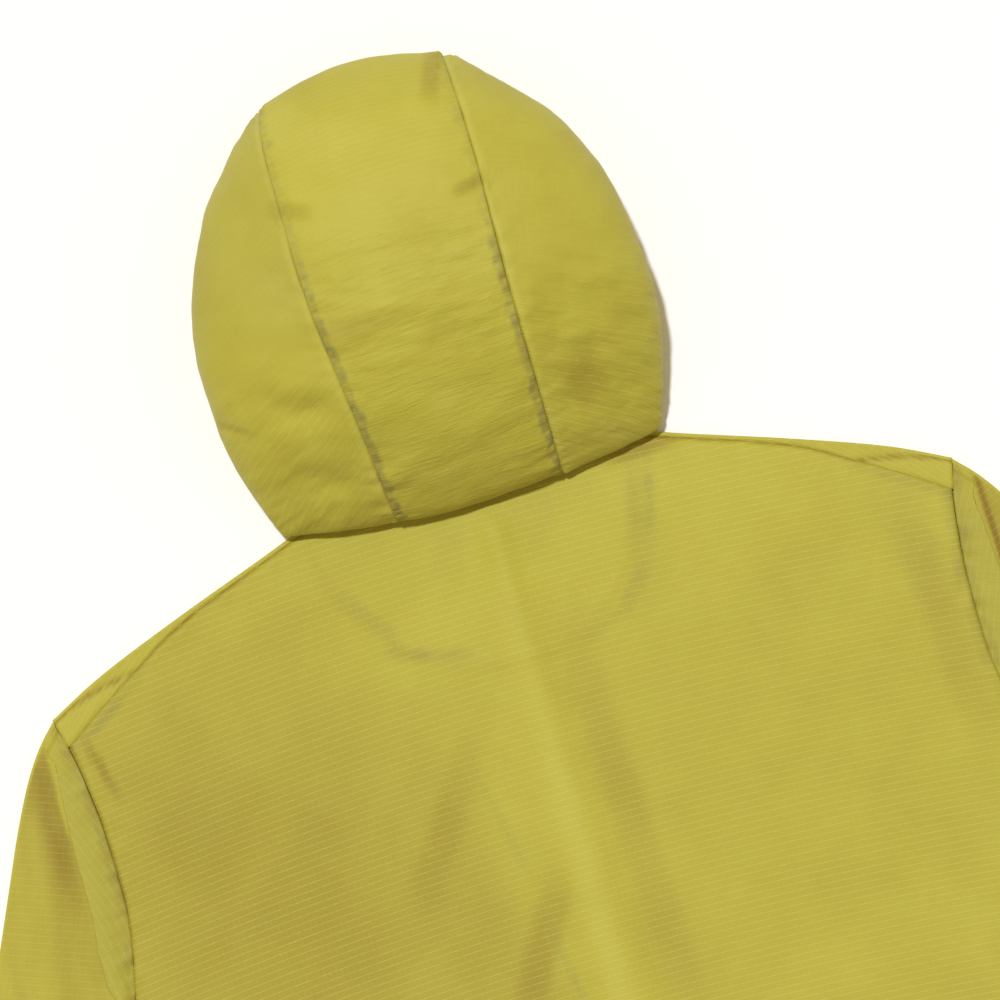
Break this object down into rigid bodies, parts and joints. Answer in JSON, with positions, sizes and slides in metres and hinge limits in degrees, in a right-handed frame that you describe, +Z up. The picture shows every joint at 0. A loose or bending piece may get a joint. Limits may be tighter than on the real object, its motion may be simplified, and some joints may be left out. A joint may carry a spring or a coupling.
{
  "type": "hooded windbreaker jacket, laid flat",
  "caption": "Hooded ripstop windbreaker laid flat on its front, back up, with the hood softly filled out and the sleeves turned down along the body.",
  "frame": {"origin": "under the middle of the jacket's box, on the surface that it lies on", "axes": "+Z up from the surface, +Y from the hem to the hood, +X across the back to the right sleeve"},
  "size_m": [1.0116, 0.9344, 0.088],
  "materials": {
    "ripstop": "thin sheer nylon ripstop, softly shining, with a fine pale grid",
    "zip_tape": "woven polyester tape, matte",
    "zip_plastic": "dyed moulded plastic"
  },
  "bodies": {
    "root": {"back": "ripstop", "front_right": "ripstop", "front_left": "ripstop", "sleeve_right": "ripstop", "sleeve_left": "ripstop", "hood_centre": "ripstop", "hood_right": "ripstop", "hood_left": "ripstop", "zip_tape_right": "zip_tape", "zip_tape_left": "zip_tape", "zip_pull": "zip_tape", "zip_chain": "zip_plastic", "zip_slider": "zip_plastic"}
  },
  "joints": []
}
